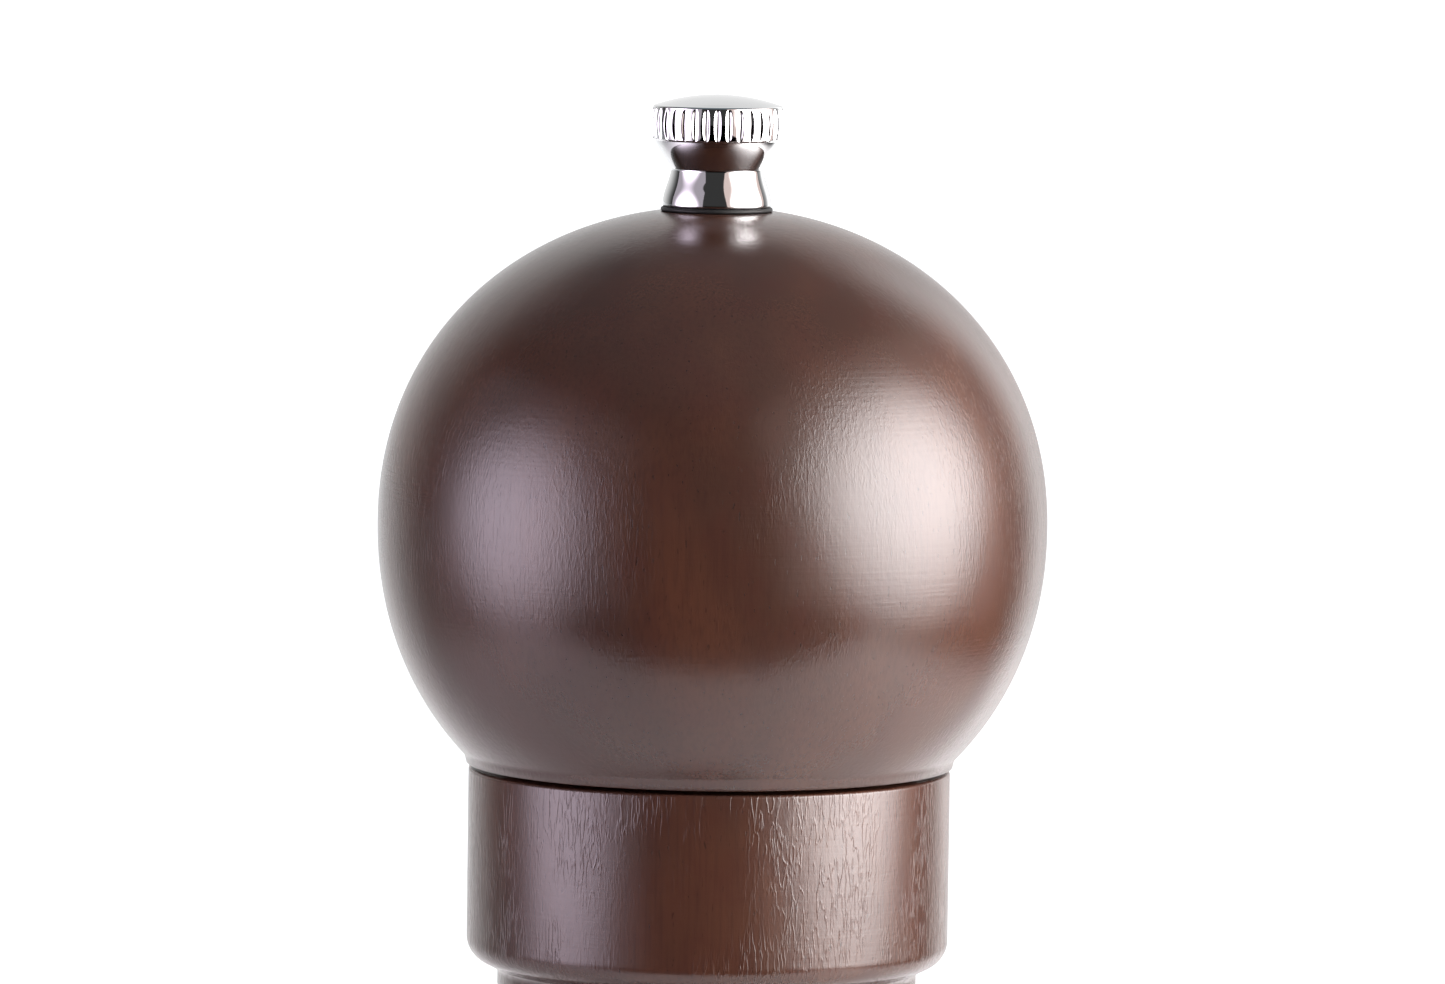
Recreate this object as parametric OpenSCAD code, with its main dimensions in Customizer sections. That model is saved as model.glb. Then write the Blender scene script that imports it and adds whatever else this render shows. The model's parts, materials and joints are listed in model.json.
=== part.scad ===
// Turned wooden pepper mill with a ball head, a chromed adjusting knob and a steel burr set.
// Millimetres, +Z up. The origin is the centre of the foot, on the surface that the mill stands on.
// The mill is drawn at its coarsest setting, with the burrs furthest apart.

/* [Body] */
// Height of the wooden body, from the foot to the seam under the head
body_h = 160; // [150:1:180]
// Radius of the foot and of the widest part of the body
foot_r = 29; // [28.5:0.5:31]
// Radius of the collar band under the head
collar_r = 20.9; // [20.5:0.1:21.5]
// Height of the collar band
collar_h = 17; // [15:0.5:20]
// Radius of the narrowest part of the body
waist_r = 16.2; // [16:0.1:17.5]

/* [Head] */
// Radius of the ball at its widest
ball_r = 29; // [28:0.5:31]
// Height from the seam up to the widest part of the ball
ball_mid_h = 21.2; // [20.5:0.1:22]
// Height of the ball above its widest part, if it had no flat on top
ball_top_h = 27.5; // [27:0.1:29]
// Depth of the ball below its widest part, if it were not cut off at the seam
ball_low_h = 28.6; // [28:0.1:29]

/* [Knob] */
// Radius of the knurled rim at its fullest
knob_r = 5.78; // [5.6:0.02:6]
// Height of the knob
knob_h = 9.7; // [9.3:0.1:10]
// Number of flutes round the rim
knob_flutes = 36; // [24:1:40]

/* [Mechanism] */
// Width across the flats of the square shaft
shaft_sq = 6; // [5.8:0.1:6]
// Travel of the shaft from coarse to fine
grind_travel = 1.4; // [1:0.1:1.5]
// Grooves round the fine part of each burr
fine_teeth = 30; // [20:1:36]
// Grooves round the coarse part of each burr
coarse_teeth = 9; // [6:1:10]

/* [Hidden] */
$fn = 96;
eps = 0.01;
arc_steps = 8;      // straight pieces in a quarter round
curve_steps = 16;   // straight pieces in a long sweep

// Body: outside
foot_edge_r = 1.4;
base_band_h = 17;
band_edge_r = 2.2;  // rounding where a band turns in to the neck below or the bead above it
bead_r = 1.5;
bead_out = foot_r - 1.2;
sweep_low_r = bead_out - 1.5;
sweep_low_z = base_band_h + 2 * bead_r;
waist_z = 0.66 * body_h;
sweep_pull_r = 19.6; // where the sweep above the bead heads for, and how far up
sweep_pull = 26;
waist_low_pull = 34; // how far the sweeps run straight up at the waist, below it and above it
waist_high_pull = 16;
neck_r = 18.2;
neck_z = body_h - collar_h - 1.9;
neck_pull_r = 1.3;  // slant of the neck where the sweep ends
neck_pull = 9;
cove_r = 0.9;       // small cove between the collar and the neck
rim_edge_r = 0.3;

// Body: inside
outlet_r = 23.5;    // recess in the foot, where the ground pepper falls out
outlet_h = 9;
seat_r = 16.5;      // counterbore that holds the stator
store_r = 12.5;     // bore that holds the peppercorns
mouth_r = 15.05;    // counterbore that takes the spigot of the head
mouth_h = 12;
pilot_r = 1.8;      // holes for the two screws of the retaining bar
pilot_h = 12;

// Head
ball_power = 2.1;   // a little fuller than an ellipse
ball_mid_z = body_h + ball_mid_h;
seam_gap = 0.35;    // relief outside the land, seen as a dark line
land_r = 18;        // the head bears on the rim inside this radius
spigot_r = 14.85;
spigot_h = 9;
head_bore_r = 4.6;  // clears the square shaft
head_hole_r = 3;    // clears the thread, for the last stretch under the knob
head_hole_h = 9.5;
knob_seat_r = 5.3;  // flat on top of the ball, under the knob
ball_top_z = ball_mid_z + ball_height(knob_seat_r, ball_top_h);

// Knob
knob_washer_h = 0.4;
knob_washer_r = 4.85;
knob_washer_hole_r = 2.8;
knob_z = ball_top_z + knob_washer_h;
knob_foot_r = 4.72; // the lip that stands on the washer
knob_neck_r = 3.97;
knob_neck_h = 3.3;
knob_foot_pull = [knob_foot_r, 1.3];         // the flare of the foot
knob_neck_pull = [knob_neck_r + 0.2, 2];
knob_bowl_low_pull = [4.5, 4.1];             // the swell of the bowl
knob_bowl_high_pull = [5.2, 5];
knob_rim_low = 5.85;
knob_rim_high = 8.6;
knob_rim_end_r = knob_r - 0.18;
knob_bore_r = 2.56;
knob_bore_h = 7.6;
flute_r = 0.36;
flute_out = 0.12;   // how far the cutter's axis lies outside the rim

// Burr set, from the foot upwards
bar_t = 1.5;
bar_w = 9;
bar_end_x = 18.2;   // centre of each round end
bar_hub_r = 6.5;
bar_boss_r = 4.3;   // boss that lengthens the bearing of the shaft
bar_boss_h = 0.9;
bar_hole_r = 2.58;  // bearing of the journal
bar_tab_w = 3.8;    // tabs that keep the stator from turning
bar_tab_t = 0.8;
bar_tab_h = 1.8;
bar_screw_x = 19.8;
bar_screw_r = 1.75;
bar_screw_length = 11;
bar_screw_head_r = 3.3;
bar_screw_head_h = 2;
stator_r = 16.3;
stator_z = outlet_h;
stator_h = 13;
stator_slot_w = 4.4;
stator_slot_h = 2.5;
burr_slope = 1 / 3; // radius lost per millimetre of height in the fine part
stator_mouth_r = 12.9;
fine_z = stator_z + 1;
throat_z = stator_z + 7;
throat_r = stator_mouth_r - burr_slope * (throat_z - fine_z);
funnel_r = 13.2;
bridge_t = 1.2;
bridge_z = stator_z + stator_h;
bridge_ring_r = 12; // inside of the ring that the stator holds down
bridge_rise = 13;   // height of the arch above the ring
bridge_arm_w = 6;
bridge_arm_t = 1.4;
bridge_arm_r = 12.3;
bridge_hub_r = 7.2;
bridge_hole_r = 4.32; // clears the corners of the shaft
shoulder_z = bridge_z + bridge_t;
arch_z = bridge_z + bridge_rise;

clip_t = 0.8;
clip_r = 4.6;
clip_lift = 0.3;    // clearance over the bar at the coarsest setting
clip_z = outlet_h + clip_lift;
rotor_washer_t = 1;
rotor_washer_r = 7;
rotor_washer_z = clip_z + clip_t;
rotor_z = rotor_washer_z + rotor_washer_t;
burr_gap = burr_slope * grind_travel + 0.2; // radial gap at the coarsest setting
rotor_h = 12;
rotor_top_r = 7.3;
rotor_mid_r = throat_r - burr_gap;
rotor_low_r = rotor_mid_r + burr_slope * (throat_z - rotor_z);
rotor_top_z = rotor_z + rotor_h;

seat_t = 0.8;
seat_washer_r = 6.8;
seat_z = arch_z - seat_t;
wire_r = 0.45;
coil_r = 5.65;
coil_turns = 6;
coil_sides = 8;
coil_rings = 15;    // rings in each turn
coil_gap = 0.03;    // clearance at each end

shaft_corner = 0.25; // taken off each side of the corners of the square
journal_r = 2.5;
journal_low_z = 5;
groove_r = 2.05;    // groove for the clip
thread_r = 2.5;
thread_pitch = 0.8;
thread_depth = 0.42;
shaft_top_z = knob_z + 4.5;
thread_low_z = ball_top_z - 12.5;

plate_t = 1.5;
plate_w = 14;
plate_end_x = 6.5;  // centre of each round end
plate_z = body_h - spigot_h - plate_t;
plate_screw_x = 9.5;
plate_screw_r = 1.25;
plate_screw_length = 9;
plate_screw_head_r = 2.5;
plate_screw_gap = 0.1; // between the screws and their holes

// Colours
stained_beech = [0.24, 0.12, 0.09];
polished_chrome = [0.86, 0.87, 0.88];
zinc_plate = [0.70, 0.71, 0.72];
burr_steel = [0.42, 0.42, 0.43];
spring_steel = [0.55, 0.56, 0.58];
black_fibre = [0.07, 0.07, 0.07];

// Height of the ball's surface above or below its widest part at radius r
function ball_height(r, h) = h * pow(1 - pow(r / ball_r, ball_power), 1 / ball_power);

// Part of a circle about [x, y], from angle a to angle b
function arc(x, y, r, a, b, steps = arc_steps) =
    [for (i = [0:steps]) let (t = a + (b - a) * i / steps) [x + r * cos(t), y + r * sin(t)]];

// Cubic curve from p0 to p3, steered by p1 and p2
function sweep(p0, p1, p2, p3, steps = curve_steps) =
    [for (i = [0:steps]) let (t = i / steps, u = 1 - t)
        u * u * u * p0 + 3 * u * u * t * p1 + 3 * u * t * t * p2 + t * t * t * p3];

// Outside of the body, from the foot up to the rim
function body_outline() = concat(
    arc(foot_r - foot_edge_r, foot_edge_r, foot_edge_r, -90, 0),
    arc(foot_r - band_edge_r, base_band_h - band_edge_r, band_edge_r, 0, 75),
    arc(bead_out - bead_r, base_band_h + bead_r, bead_r, -75, 75),
    sweep([sweep_low_r, sweep_low_z], [sweep_pull_r, sweep_low_z + sweep_pull],
          [waist_r, waist_z - waist_low_pull], [waist_r, waist_z]),
    sweep([waist_r, waist_z], [waist_r, waist_z + waist_high_pull],
          [neck_r - neck_pull_r, neck_z - neck_pull], [neck_r, neck_z]),
    arc(neck_r + cove_r, neck_z + cove_r, cove_r, 180, 95, 4),
    arc(collar_r - band_edge_r, body_h - collar_h + band_edge_r, band_edge_r, -78, 0),
    arc(collar_r - rim_edge_r, body_h - rim_edge_r, rim_edge_r, 0, 90, 4)
);

// Outside of the ball above the seam, from its cut-off underside up to the flat under the knob
function ball_outline() =
    let (cut = ball_mid_h - seam_gap)
    concat(
        [for (i = [0:curve_steps]) let (z = cut * (1 - i / curve_steps))
            [ball_r * pow(1 - pow(z / ball_low_h, ball_power), 1 / ball_power), ball_mid_z - z]],
        [for (a = [5:5:80]) let (r = ball_r * cos(a)) if (r > knob_seat_r + 0.2)
            [r, ball_mid_z + ball_height(r, ball_top_h)]]
    );

module body() {
    color(stained_beech)
    difference() {
        rotate_extrude() polygon(concat([[0, 0]], body_outline(), [[0, body_h]]));
        translate([0, 0, -eps]) cylinder(r = outlet_r, h = outlet_h + eps);
        translate([0, 0, outlet_h - eps]) cylinder(r = seat_r, h = shoulder_z - outlet_h + eps);
        translate([0, 0, shoulder_z - eps]) cylinder(r = store_r, h = body_h);
        translate([0, 0, body_h - mouth_h]) cylinder(r = mouth_r, h = mouth_h + eps);
        for (side = [-1, 1])
            translate([side * bar_screw_x, 0, outlet_h - eps]) cylinder(r = pilot_r, h = pilot_h);
    }
}

module head() {
    spigot_z = plate_z + plate_t;
    color(stained_beech)
    difference() {
        union() {
            rotate_extrude() polygon(concat([[0, body_h + seam_gap]], ball_outline(),
                                            [[knob_seat_r, ball_top_z], [0, ball_top_z]]));
            translate([0, 0, body_h]) cylinder(r = land_r, h = 1);
            translate([0, 0, spigot_z]) cylinder(r = spigot_r, h = spigot_h + 1);
        }
        translate([0, 0, spigot_z - eps])
            cylinder(r = head_bore_r, h = ball_top_z - head_hole_h - spigot_z);
        translate([0, 0, spigot_z]) cylinder(r = head_hole_r, h = body_h);
        for (side = [-1, 1])
            translate([side * plate_screw_x, 0, spigot_z - eps])
                cylinder(r = plate_screw_r + plate_screw_gap, h = plate_screw_length);
    }
}

// A flat bar with round ends
module oblong(end_x, r, h) {
    for (side = [-1, 1])
        translate([side * end_x, 0, 0]) cylinder(r = r, h = h);
    translate([-end_x, -r, 0]) cube([2 * end_x, 2 * r, h]);
}

// A square hole or bar, standing on z = 0
module square_bar(side, h) {
    translate([-side / 2, -side / 2, 0]) cube([side, side, h]);
}

// A round washer
module washer(r, hole_r, h) {
    difference() {
        cylinder(r = r, h = h);
        translate([0, 0, -eps]) cylinder(r = hole_r, h = h + 2 * eps);
    }
}

// Outside of the knob, from its foot up to the top of the dome
function knob_outline() =
    let (edge = 0.2, dome_r = knob_rim_end_r - edge, dome_drop = knob_h - knob_rim_high - edge,
         dome = (dome_r * dome_r + dome_drop * dome_drop) / (2 * dome_drop))
    concat(
        [[knob_foot_r - 0.1, 0]],
        sweep([knob_foot_r, 0.1], knob_foot_pull, knob_neck_pull, [knob_neck_r, knob_neck_h]),
        sweep([knob_neck_r, knob_neck_h], knob_bowl_low_pull, knob_bowl_high_pull,
              [knob_rim_end_r - 0.12, knob_rim_low], 6),
        [for (i = [0:6]) let (t = i / 6)
            [knob_rim_end_r + (knob_r - knob_rim_end_r) * sin(180 * t),
             knob_rim_low + (knob_rim_high - knob_rim_low) * t]],
        arc(dome_r, knob_rim_high, edge, 30, 90, 3),
        [for (i = [1:6]) let (r = dome_r * (1 - i / 7)) [r, knob_h - dome + sqrt(dome * dome - r * r)]]
    );

module adjusting_knob() {
    color(polished_chrome)
    translate([0, 0, knob_z])
    difference() {
        rotate_extrude() polygon(concat([[0, 0]], knob_outline(), [[0, knob_h]]));
        translate([0, 0, -eps]) cylinder(r = knob_bore_r, h = knob_bore_h);
        for (i = [0:knob_flutes - 1])
            rotate([0, 0, i * 360 / knob_flutes])
                translate([knob_r + flute_out, 0, knob_rim_low + 0.05])
                    cylinder(r = flute_r, h = knob_rim_high - knob_rim_low - 0.1, $fn = 24);
    }
}

module knob_washer() {
    color(black_fibre)
    translate([0, 0, ball_top_z]) washer(knob_washer_r, knob_washer_hole_r, knob_washer_h);
}

module drive_plate() {
    color(zinc_plate)
    translate([0, 0, plate_z])
    difference() {
        oblong(plate_end_x, plate_w / 2, plate_t);
        translate([0, 0, -eps]) square_bar(shaft_sq + 0.25, plate_t + 2 * eps);
        for (side = [-1, 1])
            translate([side * plate_screw_x, 0, -eps]) {
                cylinder(r = plate_screw_r + plate_screw_gap, h = plate_t + 2 * eps);
                cylinder(r1 = plate_screw_head_r + plate_screw_gap, r2 = plate_screw_r, h = plate_t);
            }
    }
}

// Threaded shank of a wood screw, pointing up from z = 0, as ridges on a core
module screw_shank(r, length, pitch) {
    core = 0.72 * r;
    tip = 2.2 * r;
    turns = floor((length - tip) / pitch);
    rotate_extrude() polygon(concat(
        [[0, 0]],
        [for (i = [0:turns - 1]) each [[core, i * pitch], [r, (i + 0.5) * pitch]]],
        [[core, turns * pitch], [0, length]]
    ));
}

// Cross recess cut up into a screw head from below
module cross_recess(width, depth) {
    for (a = [0, 90])
        rotate([0, 0, a]) translate([-width / 2, -0.35, -eps]) cube([width, 0.7, depth + eps]);
}

module drive_plate_screws() {
    color(zinc_plate)
    for (side = [-1, 1])
        translate([side * plate_screw_x, 0, plate_z])
        difference() {
            union() {
                cylinder(r1 = plate_screw_head_r, r2 = plate_screw_r, h = plate_screw_r);
                translate([0, 0, 1]) screw_shank(plate_screw_r, plate_screw_length, 1);
            }
            cross_recess(1.1 * plate_screw_head_r, 0.7);
        }
}

module shaft() {
    color(zinc_plate)
    union() {
        intersection() {
            translate([0, 0, rotor_z]) square_bar(shaft_sq, thread_low_z - rotor_z);
            rotate([0, 0, 45]) translate([0, 0, rotor_z])
                square_bar(shaft_sq * sqrt(2) - 2 * shaft_corner, thread_low_z - rotor_z);
        }
        rotate_extrude() polygon(concat(
            [[0, thread_low_z - eps], [thread_r - thread_depth, thread_low_z - eps]],
            [for (z = [thread_low_z + 0.6:thread_pitch:shaft_top_z - thread_pitch])
                each [[thread_r - thread_depth, z],
                      [thread_r, z + 0.35 * thread_pitch],
                      [thread_r, z + 0.5 * thread_pitch],
                      [thread_r - thread_depth, z + 0.85 * thread_pitch]]],
            [[thread_r - thread_depth, shaft_top_z], [0, shaft_top_z]]
        ));
        rotate_extrude() polygon([
            [0, journal_low_z], [journal_r - 0.4, journal_low_z], [journal_r, journal_low_z + 0.4],
            [journal_r, clip_z], [groove_r, clip_z], [groove_r, clip_z + clip_t],
            [journal_r, clip_z + clip_t], [journal_r, rotor_z + eps], [0, rotor_z + eps]
        ]);
    }
}

module bridge() {
    color(zinc_plate)
    difference() {
        union() {
            translate([0, 0, bridge_z]) washer(stator_r, bridge_ring_r, bridge_t);
            intersection() {
                union() {
                    for (side = [-1, 1])
                        translate([side * (bridge_arm_r - bridge_arm_t / 2) - bridge_arm_t / 2,
                                   -bridge_arm_w / 2, bridge_z])
                            cube([bridge_arm_t, bridge_arm_w, bridge_rise + bridge_t]);
                    translate([-bridge_arm_r, -bridge_arm_w / 2, arch_z])
                        cube([2 * bridge_arm_r, bridge_arm_w, bridge_t]);
                }
                translate([0, 0, bridge_z]) cylinder(r = bridge_arm_r, h = bridge_rise + bridge_t);
            }
            translate([0, 0, arch_z]) cylinder(r = bridge_hub_r, h = bridge_t);
        }
        translate([0, 0, arch_z - eps]) cylinder(r = bridge_hole_r, h = bridge_t + 2 * eps);
    }
}

module spring_seat() {
    color(zinc_plate)
    translate([0, 0, seat_z])
    difference() {
        cylinder(r = seat_washer_r, h = seat_t);
        translate([0, 0, -eps]) square_bar(shaft_sq + 0.2, seat_t + 2 * eps);
    }
}

// Height of the wire's centre after t of its turns: flat end coils, open coils between them
function coil_height(t) =
    let (low = rotor_top_z + wire_r + coil_gap, high = seat_z - wire_r - coil_gap, flat = 2.05 * wire_r,
         pitch = (high - low - 2 * flat) / (coil_turns - 2))
    t < 1 ? low + flat * t
    : t > coil_turns - 1 ? high - flat * (coil_turns - t)
    : low + flat + pitch * (t - 1);

module spring() {
    rings = coil_turns * coil_rings;
    points = [for (i = [0:rings], k = [0:coil_sides - 1])
        let (turn = i / coil_rings, a = 360 * turn, b = 360 * k / coil_sides,
             r = coil_r + wire_r * cos(b))
        [r * cos(a), r * sin(a), coil_height(turn) + wire_r * sin(b)]];
    sides = [for (i = [0:rings - 1], k = [0:coil_sides - 1])
        let (a = i * coil_sides + k, b = i * coil_sides + (k + 1) % coil_sides)
        [a, a + coil_sides, b + coil_sides, b]];
    start = [for (k = [0:coil_sides - 1]) k];
    end = [for (k = [coil_sides - 1:-1:0]) rings * coil_sides + k];
    color(spring_steel) polyhedron(points, concat([start], sides, [end]));
}

// V grooves round a cone. Each is a three-sided prism lying along the cone's surface at radius r
// and height z, leaned over by lead. A positive depth cuts outwards and a negative one inwards.
module cone_grooves(count, r, z, slope, length, width, depth, lead) {
    overcut = -0.4 * sign(depth);
    for (i = [0:count - 1])
        rotate([0, 0, i * 360 / count])
            translate([r, 0, z]) rotate([0, -atan(slope), 0]) rotate([lead, 0, 0])
                translate([0, 0, -length / 2])
                    linear_extrude(length)
                        polygon([[overcut, -width / 2], [depth, 0], [overcut, width / 2]]);
}

module stator() {
    funnel_slope = (funnel_r - throat_r) / (bridge_z - throat_z);
    color(burr_steel)
    difference() {
        translate([0, 0, stator_z]) cylinder(r = stator_r, h = stator_h);
        rotate_extrude() polygon([
            [0, stator_z - 1], [stator_mouth_r + 0.7, stator_z - 1], [stator_mouth_r + 0.7, stator_z],
            [stator_mouth_r, fine_z], [throat_r, throat_z], [funnel_r, bridge_z],
            [funnel_r, bridge_z + 1], [0, bridge_z + 1]
        ]);
        cone_grooves(fine_teeth, (stator_mouth_r + throat_r) / 2, (fine_z + throat_z) / 2,
                     burr_slope, 8, 1.7, 0.6, 12);
        cone_grooves(coarse_teeth, (throat_r + funnel_r) / 2, (throat_z + bridge_z) / 2 + 0.6,
                     -funnel_slope, 8, 4.2, 1.5, 28);
        for (side = [-1, 1])
            translate([side * stator_r - 1, -stator_slot_w / 2, stator_z - eps])
                cube([2, stator_slot_w, stator_slot_h]);
    }
}

module rotor() {
    cone_slope = (rotor_mid_r - rotor_top_r) / (rotor_top_z - throat_z);
    color(burr_steel)
    difference() {
        rotate_extrude() polygon([
            [0, rotor_z], [rotor_low_r - 0.5, rotor_z], [rotor_low_r, rotor_z + 0.5 * burr_slope],
            [rotor_mid_r, throat_z], [rotor_top_r, rotor_top_z], [0, rotor_top_z]
        ]);
        translate([0, 0, rotor_z - eps]) square_bar(shaft_sq + 0.1, rotor_h + 2 * eps);
        cone_grooves(fine_teeth, (rotor_low_r + rotor_mid_r) / 2, (rotor_z + throat_z) / 2,
                     burr_slope, 7, 1.6, -0.6, -12);
        cone_grooves(coarse_teeth, (rotor_mid_r + rotor_top_r) / 2, (throat_z + rotor_top_z) / 2 + 1,
                     cone_slope, 11, 3.8, -1.6, -32);
    }
}

module rotor_washer() {
    color(zinc_plate)
    translate([0, 0, rotor_washer_z]) washer(rotor_washer_r, journal_r + 0.05, rotor_washer_t);
}

// E-clip, sprung into the groove of the shaft's journal
module shaft_clip() {
    color(spring_steel)
    translate([0, 0, clip_z])
    difference() {
        cylinder(r = clip_r, h = clip_t);
        translate([0, 0, -eps]) {
            cylinder(r = groove_r, h = clip_t + 2 * eps);
            translate([0, -0.9 * groove_r, 0]) cube([clip_r, 1.8 * groove_r, clip_t + 2 * eps]);
            for (a = [120, 240])
                rotate([0, 0, a]) translate([1.3 * groove_r, 0, 0])
                    cylinder(r = 0.35 * groove_r, h = clip_t + 2 * eps);
        }
    }
}

module retaining_bar() {
    color(zinc_plate)
    translate([0, 0, outlet_h - bar_t])
    difference() {
        union() {
            oblong(bar_end_x, bar_w / 2, bar_t);
            translate([0, 0, -bar_boss_h]) cylinder(r = bar_boss_r, h = bar_boss_h + bar_t);
            cylinder(r = bar_hub_r, h = bar_t);
            for (side = [-1, 1])
                translate([side * (stator_r - 0.45) - bar_tab_t / 2, -bar_tab_w / 2, 0])
                    cube([bar_tab_t, bar_tab_w, bar_t + bar_tab_h]);
        }
        translate([0, 0, -1]) cylinder(r = bar_hole_r, h = bar_t + 2);
        for (side = [-1, 1])
            translate([side * bar_screw_x, 0, -eps]) cylinder(r = bar_screw_r + 0.15, h = bar_t + 2 * eps);
    }
}

module retaining_screws() {
    color(zinc_plate)
    for (side = [-1, 1])
        translate([side * bar_screw_x, 0, outlet_h - bar_t])
        difference() {
            union() {
                translate([0, 0, -bar_screw_head_h / 2])
                    cylinder(r = bar_screw_head_r, h = bar_screw_head_h / 2);
                translate([0, 0, -bar_screw_head_h])
                    cylinder(r1 = 0.65 * bar_screw_head_r, r2 = bar_screw_head_r, h = bar_screw_head_h / 2);
                cylinder(r = bar_screw_r, h = bar_t);
                translate([0, 0, bar_t]) screw_shank(bar_screw_r, bar_screw_length, 1.3);
            }
            translate([0, 0, -bar_screw_head_h]) cross_recess(bar_screw_head_r, 1.2);
        }
}

body();
head();
adjusting_knob();
knob_washer();
drive_plate();
drive_plate_screws();
shaft();
bridge();
spring_seat();
spring();
stator();
rotor();
rotor_washer();
shaft_clip();
retaining_bar();
retaining_screws();
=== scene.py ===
import json
import math

import bmesh
import bpy
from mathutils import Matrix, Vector


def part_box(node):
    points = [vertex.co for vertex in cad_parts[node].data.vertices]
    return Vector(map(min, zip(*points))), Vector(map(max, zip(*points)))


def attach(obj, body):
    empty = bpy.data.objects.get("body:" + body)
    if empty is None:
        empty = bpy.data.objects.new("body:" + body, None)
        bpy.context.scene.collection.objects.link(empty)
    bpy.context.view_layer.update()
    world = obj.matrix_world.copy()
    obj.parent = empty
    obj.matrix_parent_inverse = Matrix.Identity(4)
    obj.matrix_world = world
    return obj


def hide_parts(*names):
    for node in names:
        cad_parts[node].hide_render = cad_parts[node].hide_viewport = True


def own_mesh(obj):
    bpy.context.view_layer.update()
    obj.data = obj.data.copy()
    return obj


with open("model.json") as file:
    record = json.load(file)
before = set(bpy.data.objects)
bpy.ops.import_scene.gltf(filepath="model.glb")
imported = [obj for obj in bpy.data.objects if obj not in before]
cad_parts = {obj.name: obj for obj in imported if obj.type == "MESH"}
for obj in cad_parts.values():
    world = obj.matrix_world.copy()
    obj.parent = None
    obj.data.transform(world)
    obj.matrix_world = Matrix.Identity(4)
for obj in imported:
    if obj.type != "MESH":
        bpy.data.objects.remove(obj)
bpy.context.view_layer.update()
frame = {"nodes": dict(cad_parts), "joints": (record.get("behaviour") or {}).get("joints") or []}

# ---------------------------------------------------------------------------------------------
# The body: one blank of beech, turned on a lathe, bored from both ends, stained a dark red-brown
# and sprayed with satin lacquer. The bores are left bare. Everything else is fixed in it.
# ---------------------------------------------------------------------------------------------
mm = 0.001
scene = bpy.context.scene

foot_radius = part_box("body")[1].x
foot_round = 1.4 * mm
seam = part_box("body")[1].z
collar_radius = 20.9 * mm
collar_foot = seam - 17.0 * mm
neck_radius = 18.2 * mm
neck_top = collar_foot - 1.9 * mm
waist_radius = 16.2 * mm
waist_height = 0.66 * seam
band_top = 17.0 * mm
band_edge = 2.2 * mm
bead = 1.5 * mm
bead_radius = foot_radius - 1.2 * mm
flare_foot = (bead_radius - bead, band_top + 2 * bead)
flare_pull = (19.6 * mm, flare_foot[1] + 26.0 * mm)
waist_low_pull = (waist_radius, waist_height - 34.0 * mm)
waist = (waist_radius, waist_height)
waist_high_pull = (waist_radius, waist_height + 16.0 * mm)
neck_pull = (neck_radius - 1.3 * mm, neck_top - 9.0 * mm)
neck_cove = 0.9 * mm
burr_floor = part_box("stator")[0].z
burr_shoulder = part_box("bridge")[0].z + 1.2 * mm
recess_radius = 23.5 * mm
recess_chamfer = 0.4 * mm
burr_seat_radius = 16.5 * mm
store_radius = 12.5 * mm
mouth_radius = 15.05 * mm
mouth_floor = seam - 12.0 * mm
edge_break = 0.3 * mm
hair = 0.1 * mm
sharp_edge = math.radians(35)


def arc(r, z, radius, start, end, steps=8):
    """Points on a circle about (r, z), from one angle to another in degrees."""
    angles = [math.radians(start + (end - start) * i / steps) for i in range(steps + 1)]
    return [(r + radius * math.cos(a), z + radius * math.sin(a)) for a in angles]


def sweep(start, pull_start, pull_end, end, steps=40):
    """Points on a smooth curve from start to end, leaving and arriving towards its two pulls."""
    points = []
    for i in range(steps + 1):
        t = i / steps
        weights = ((1 - t) ** 3, 3 * t * (1 - t) ** 2, 3 * t * t * (1 - t), t ** 3)
        corners = (start, pull_start, pull_end, end)
        points.append(tuple(sum(w * c[k] for w, c in zip(weights, corners)) for k in (0, 1)))
    return points


def turned(name, outline, finishes, sides=192, closed=True, turn=None, part=None):
    """A piece turned about the mill's axis from an outline of (r, z) points that runs anticlockwise.

    turn(r, z, angle) may change a point's radius. part(r, z) picks a face's finish from the list.
    """
    mesh = bpy.data.meshes.new(name)
    build = bmesh.new()
    rings = []
    for r, z in outline:
        if r == 0:
            rings.append([build.verts.new((0, 0, z))])
            continue
        ring = []
        for i in range(sides):
            angle = 2 * math.pi * i / sides
            radius = turn(r, z, angle) if turn else r
            ring.append(build.verts.new((radius * math.cos(angle), radius * math.sin(angle), z)))
        rings.append(ring)
    pairs = list(zip(rings, rings[1:]))
    if closed:
        pairs.append((rings[-1], rings[0]))
    for low, high in pairs:
        for i in range(sides):
            j = (i + 1) % sides
            corners = [low[i % len(low)], low[j % len(low)], high[j % len(high)], high[i % len(high)]]
            # On the axis a ring is one point, so two of the four corners are the same.
            build.faces.new(list(dict.fromkeys(corners)))
    for face in build.faces:
        face.smooth = True
        if part:
            middle = face.calc_center_median()
            face.material_index = part(math.hypot(middle.x, middle.y), middle.z)
    for edge in build.edges:
        if len(edge.link_faces) == 2 and edge.calc_face_angle() > sharp_edge:
            edge.smooth = False
    build.to_mesh(mesh)
    build.free()
    for finish in finishes:
        mesh.materials.append(finish.material)
    piece = bpy.data.objects.new(name, mesh)
    scene.collection.objects.link(piece)
    return piece


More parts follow.
